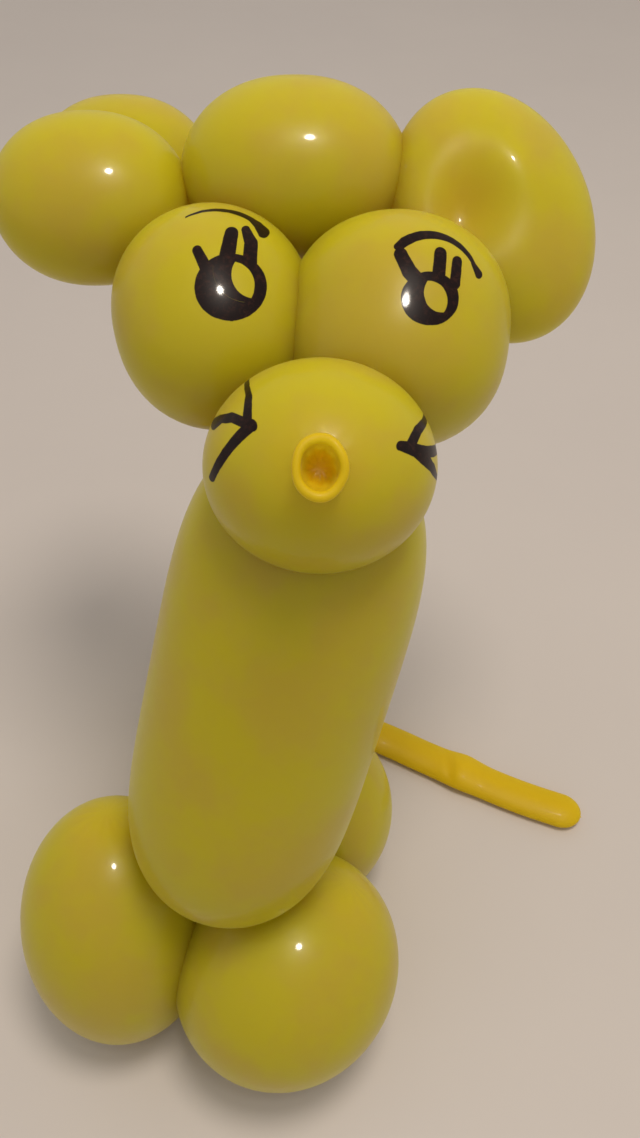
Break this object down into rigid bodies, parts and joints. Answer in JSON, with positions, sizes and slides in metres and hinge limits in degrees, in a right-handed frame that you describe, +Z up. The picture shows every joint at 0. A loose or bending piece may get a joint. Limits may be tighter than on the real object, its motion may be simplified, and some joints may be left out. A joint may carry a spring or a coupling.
{
  "type": "balloon giraffe",
  "caption": "Twisted modelling balloon in the shape of a giraffe: a long neck, a head with drawn eyes, folded ears, a snout that ends in the nozzle, round legs and a limp tail.",
  "frame": {"origin": "middle of the footprint, on the surface that the feet stand on", "axes": "+Z up, the face and the front legs towards -Y, the tail's tip towards +X"},
  "size_m": [0.1652, 0.182, 0.2118],
  "materials": {
    "latex": "glossy yellow blown-up latex, slightly see-through, with black marker drawn on the face"
  },
  "bodies": {
    "root": {"balloon": "latex"}
  },
  "joints": []
}
